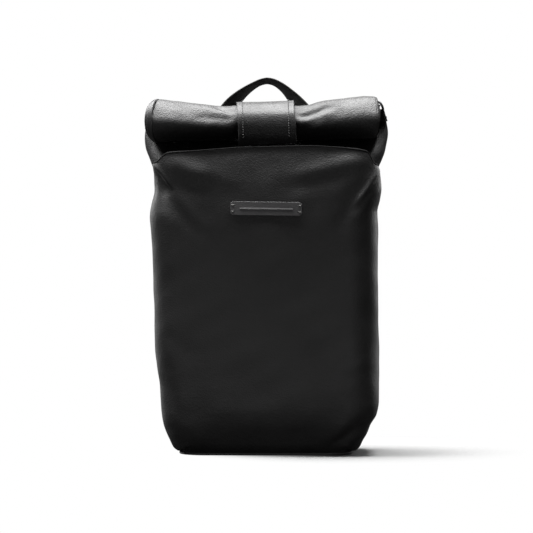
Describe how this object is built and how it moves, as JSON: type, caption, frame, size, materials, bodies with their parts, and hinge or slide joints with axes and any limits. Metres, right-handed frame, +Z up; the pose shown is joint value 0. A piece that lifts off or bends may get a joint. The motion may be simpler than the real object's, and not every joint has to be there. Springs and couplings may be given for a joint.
{
  "type": "roll-top backpack",
  "caption": "Leather roll-top backpack with a rolled closure, a wide closure strap, a webbing grab handle, padded shoulder straps and a rear laptop zip.",
  "frame": {"origin": "centre of the flat base panel, on the floor", "axes": "+X to the right seen from the front, -Y the front panel's side, +Z up"},
  "size_m": [0.31, 0.1915, 0.4809],
  "materials": {
    "leather": "matte black, fine grain",
    "lining": "dark grey plain weave",
    "padding": "black spacer mesh over foam",
    "board": "black polyethylene sheet",
    "webbing": "black ribbed webbing",
    "plastic": "black moulded",
    "dark_metal": "black plated",
    "magnet": "nickel plated",
    "nameplate": "dark grey smooth patch with a plain groove"
  },
  "bodies": {
    "bag": {"front_shell": "leather", "main_lining": "lining", "base_panel": "leather", "base_board": "board", "base_piping": "leather", "back_panel": "leather", "frame_sheet": "board", "laptop_divider": "lining", "yoke_patch": "leather", "back_pad_left": "padding", "back_pad_right": "padding", "lumbar_pad": "padding", "luggage_band": "webbing", "inner_pocket": "lining", "pocket_zip_tape": "webbing", "laptop_zip_tape": "webbing", "laptop_zip_coil": "plastic", "nameplate": "nameplate", "nameplate_tack_1": "webbing", "nameplate_tack_2": "webbing", "nameplate_tack_3": "webbing", "nameplate_tack_4": "webbing", "keeper_magnet": "magnet", "lower_webbing_left": "webbing", "lower_webbing_right": "webbing", "strap_anchor_left": "leather", "strap_anchor_right": "leather"},
    "collar": {"collar_front": "leather", "collar_back": "leather", "gusset_left": "leather", "gusset_right": "leather"},
    "roll": {"roll": "leather", "mouth_stiffener": "board", "hook_loop_left": "webbing", "hook_loop_right": "webbing"},
    "closure_strap": {"closure_strap": "leather", "strap_magnet": "magnet"},
    "hook_left": {"hook_webbing_left": "webbing", "side_hook_left": "dark_metal"},
    "hook_right": {"hook_webbing_right": "webbing", "side_hook_right": "dark_metal"},
    "top_handle": {"top_handle": "webbing"},
    "shoulder_strap_left": {"shoulder_strap_left": "padding", "strap_tab_left": "webbing"},
    "shoulder_strap_right": {"shoulder_strap_right": "padding", "strap_tab_right": "webbing"},
    "adjuster_left": {"adjuster_left": "plastic", "webbing_tail_left": "webbing"},
    "adjuster_right": {"adjuster_right": "plastic", "webbing_tail_right": "webbing"},
    "laptop_zip_slider": {"laptop_zip_slider": "dark_metal"},
    "laptop_zip_pull": {"laptop_zip_pull": "plastic"},
    "pocket_zip_slider": {"pocket_zip_slider": "dark_metal"},
    "pocket_zip_pull": {"pocket_zip_pull": "plastic"}
  },
  "joints": [
    {"name": "roll_lift", "type": "slide", "parent": "bag", "child": "collar", "axis": [0, 0, 1], "range_m": [0, 0.1]},
    {"name": "roll_turn", "type": "hinge", "parent": "collar", "child": "roll", "pos_m": [0, 0.02, 0.424], "axis": [-1, 0, 0], "range_deg": [0, 202]},
    {"name": "closure_strap_open", "type": "hinge", "parent": "collar", "child": "closure_strap", "pos_m": [0, 0.0565, 0.404], "axis": [-1, 0, 0], "range_deg": [0, 46]},
    {"name": "hook_left_swing", "type": "hinge", "parent": "collar", "child": "hook_left", "pos_m": [-0.1524, 0.03, 0.431], "axis": [0, -1, 0], "range_deg": [0, 85]},
    {"name": "hook_right_swing", "type": "hinge", "parent": "collar", "child": "hook_right", "pos_m": [0.1524, 0.03, 0.431], "axis": [0, 1, 0], "range_deg": [0, 85]},
    {"name": "handle_swing", "type": "hinge", "parent": "bag", "child": "top_handle", "pos_m": [0, 0.078, 0.391], "axis": [-1, 0, 0], "range_deg": [0, 62]},
    {"name": "shoulder_strap_left_swing", "type": "hinge", "parent": "bag", "child": "shoulder_strap_left", "pos_m": [-0.05, 0.077, 0.38], "axis": [1, 0, 0], "range_deg": [0, 28]},
    {"name": "shoulder_strap_right_swing", "type": "hinge", "parent": "bag", "child": "shoulder_strap_right", "pos_m": [0.05, 0.077, 0.38], "axis": [1, 0, 0], "range_deg": [0, 28]},
    {"name": "adjuster_left_tilt", "type": "hinge", "parent": "shoulder_strap_left", "child": "adjuster_left", "pos_m": [-0.095, 0.089, 0.1195], "axis": [1, 0, 0], "range_deg": [0, 35]},
    {"name": "adjuster_right_tilt", "type": "hinge", "parent": "shoulder_strap_right", "child": "adjuster_right", "pos_m": [0.095, 0.089, 0.1195], "axis": [1, 0, 0], "range_deg": [0, 35]},
    {"name": "laptop_zip_slide", "type": "slide", "parent": "bag", "child": "laptop_zip_slider", "axis": [0, 0, -1], "range_m": [0, 0.222]},
    {"name": "laptop_zip_pull_swing", "type": "hinge", "parent": "laptop_zip_slider", "child": "laptop_zip_pull", "pos_m": [-0.126, 0.0719, 0.334], "axis": [1, 0, 0], "range_deg": [0, 110]},
    {"name": "pocket_zip_slide", "type": "slide", "parent": "bag", "child": "pocket_zip_slider", "axis": [1, 0, 0], "range_m": [0, 0.144]},
    {"name": "pocket_zip_pull_swing", "type": "hinge", "parent": "pocket_zip_slider", "child": "pocket_zip_pull", "pos_m": [-0.072, 0.0172, 0.25], "axis": [-1, 0, 0], "range_deg": [0, 100]}
  ],
  "couplings": [
    {"joint": "roll_turn", "follows": "roll_lift", "rad_per_m": 35.088}
  ]
}
